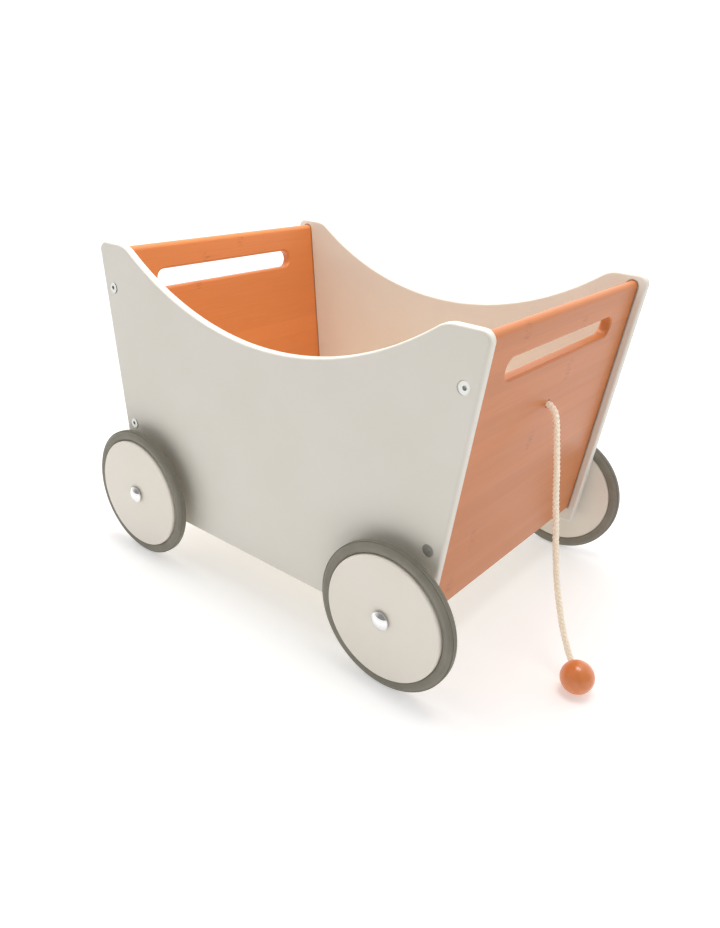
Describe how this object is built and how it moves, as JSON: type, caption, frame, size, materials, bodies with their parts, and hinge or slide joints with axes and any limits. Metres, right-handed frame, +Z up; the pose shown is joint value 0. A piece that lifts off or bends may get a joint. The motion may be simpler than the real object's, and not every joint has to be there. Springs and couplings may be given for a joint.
{
  "type": "toy wagon",
  "caption": "Child's wooden wagon with painted sides, leaning bamboo end panels with hand slots, rubber-tyred disc wheels and a braided pull cord with a wooden ball.",
  "frame": {"origin": "on the ground, at the middle of the wagon's plan", "axes": "+X forward, towards the pull cord; +Y to the left; +Z up"},
  "size_m": [0.602, 0.3908, 0.3555],
  "materials": {
    "painted_panel": "satin painted birch plywood, off-white",
    "painted_disc": "satin painted birch plywood, off-white",
    "bamboo": "orange-brown stained and varnished bamboo board",
    "birch": "plain sanded birch",
    "ball_wood": "orange-brown stained and varnished turned wood",
    "bolt_steel": "bright nickel plated steel",
    "screw_steel": "zinc plated steel",
    "axle_steel": "ground steel",
    "insert_brass": "turned brass",
    "cap_chrome": "polished chrome",
    "nylon": "natural nylon",
    "tyre_rubber": "olive grey rubber, fine moulded tread",
    "cotton_cord": "natural braided cotton"
  },
  "bodies": {
    "wagon_body": {"side_panel_left": "painted_panel", "side_panel_right": "painted_panel", "front_panel": "bamboo", "rear_panel": "bamboo", "floor_panel": "birch", "floor_cleat_left": "birch", "floor_cleat_right": "birch", "axle_rail_front": "birch", "axle_rail_rear": "birch", "front_panel_bolts": "bolt_steel", "rear_panel_bolts": "bolt_steel", "front_panel_inserts": "insert_brass", "rear_panel_inserts": "insert_brass", "floor_screws": "screw_steel", "cleat_screws": "screw_steel", "axle_front": "axle_steel", "axle_rear": "axle_steel", "wheel_spacers": "nylon", "axle_caps_front": "cap_chrome", "axle_caps_rear": "cap_chrome", "stopper_knot": "cotton_cord"},
    "wheel_front_left": {"wheel_disc_front_left": "painted_disc", "tyre_front_left": "tyre_rubber", "hub_bush_front_left": "nylon"},
    "wheel_front_right": {"wheel_disc_front_right": "painted_disc", "tyre_front_right": "tyre_rubber", "hub_bush_front_right": "nylon"},
    "wheel_rear_left": {"wheel_disc_rear_left": "painted_disc", "tyre_rear_left": "tyre_rubber", "hub_bush_rear_left": "nylon"},
    "wheel_rear_right": {"wheel_disc_rear_right": "painted_disc", "tyre_rear_right": "tyre_rubber", "hub_bush_rear_right": "nylon"},
    "pull_line": {"pull_rope": "cotton_cord", "pull_ball": "ball_wood"}
  },
  "joints": [
    {"name": "wheel_front_left_spin", "type": "hinge", "parent": "wagon_body", "child": "wheel_front_left", "pos_m": [0.181, 0.183, 0.076], "axis": [0, 1, 0], "continuous": true},
    {"name": "wheel_front_right_spin", "type": "hinge", "parent": "wagon_body", "child": "wheel_front_right", "pos_m": [0.181, -0.183, 0.076], "axis": [0, 1, 0], "continuous": true},
    {"name": "wheel_rear_left_spin", "type": "hinge", "parent": "wagon_body", "child": "wheel_rear_left", "pos_m": [-0.181, 0.183, 0.076], "axis": [0, 1, 0], "continuous": true},
    {"name": "wheel_rear_right_spin", "type": "hinge", "parent": "wagon_body", "child": "wheel_rear_right", "pos_m": [-0.181, -0.183, 0.076], "axis": [0, 1, 0], "continuous": true},
    {"name": "pull_line_swing", "type": "hinge", "parent": "wagon_body", "child": "pull_line", "pos_m": [0.232, -0.001, 0.248], "axis": [0, -1, 0], "range_deg": [0, 75]}
  ]
}
